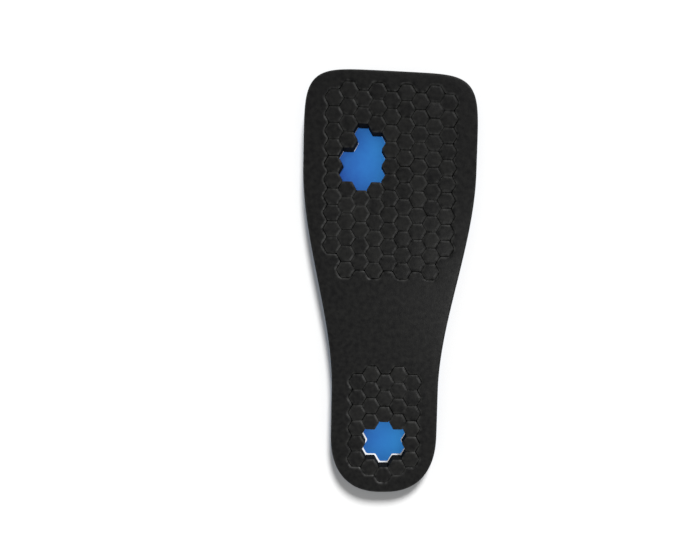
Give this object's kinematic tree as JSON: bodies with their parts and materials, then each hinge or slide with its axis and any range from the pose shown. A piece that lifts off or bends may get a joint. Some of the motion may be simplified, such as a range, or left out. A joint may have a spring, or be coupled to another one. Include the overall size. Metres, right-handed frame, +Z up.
{
  "type": "offloading insole",
  "caption": "Flat square-toed foam insole with fields of removable hexagonal pegs under the forefoot and heel, some pulled to relieve pressure, on a blue foam cover.",
  "frame": {"origin": "on the floor under the middle of the outline, at the foot side of the cover", "axes": "+X to the right seen with the pegs upwards, +Y towards the toe, +Z up out of the peg side"},
  "size_m": [0.117, 0.2876, 0.0132],
  "materials": {
    "peg_foam": "matte black closed-cell foam, fine grain",
    "cover_foam": "smooth blue closed-cell foam",
    "liner_sheet": "thin white film, matt"
  },
  "bodies": {
    "root": {"cover": "cover_foam", "peg_frame": "peg_foam", "forefoot_liner": "liner_sheet", "heel_liner": "liner_sheet", "forefoot_pegs_01": "peg_foam", "forefoot_pegs_02": "peg_foam", "forefoot_pegs_03": "peg_foam", "forefoot_pegs_04": "peg_foam", "forefoot_pegs_05": "peg_foam", "forefoot_pegs_06": "peg_foam", "forefoot_pegs_07": "peg_foam", "forefoot_pegs_08": "peg_foam", "forefoot_pegs_09": "peg_foam", "forefoot_pegs_10": "peg_foam", "forefoot_pegs_11": "peg_foam", "forefoot_pegs_12": "peg_foam", "heel_peg_01": "peg_foam", "heel_peg_02": "peg_foam", "heel_peg_03": "peg_foam", "heel_peg_04": "peg_foam", "heel_peg_05": "peg_foam", "heel_peg_06": "peg_foam", "heel_peg_07": "peg_foam", "heel_peg_08": "peg_foam", "heel_peg_09": "peg_foam", "heel_peg_10": "peg_foam", "heel_peg_11": "peg_foam", "heel_peg_12": "peg_foam", "heel_peg_13": "peg_foam", "heel_peg_14": "peg_foam", "heel_peg_15": "peg_foam", "heel_peg_16": "peg_foam", "heel_peg_17": "peg_foam", "heel_peg_18": "peg_foam", "heel_peg_19": "peg_foam", "heel_peg_20": "peg_foam", "heel_peg_21": "peg_foam", "heel_peg_22": "peg_foam", "heel_peg_23": "peg_foam", "heel_peg_24": "peg_foam", "heel_peg_25": "peg_foam", "heel_peg_26": "peg_foam"}
  },
  "joints": []
}
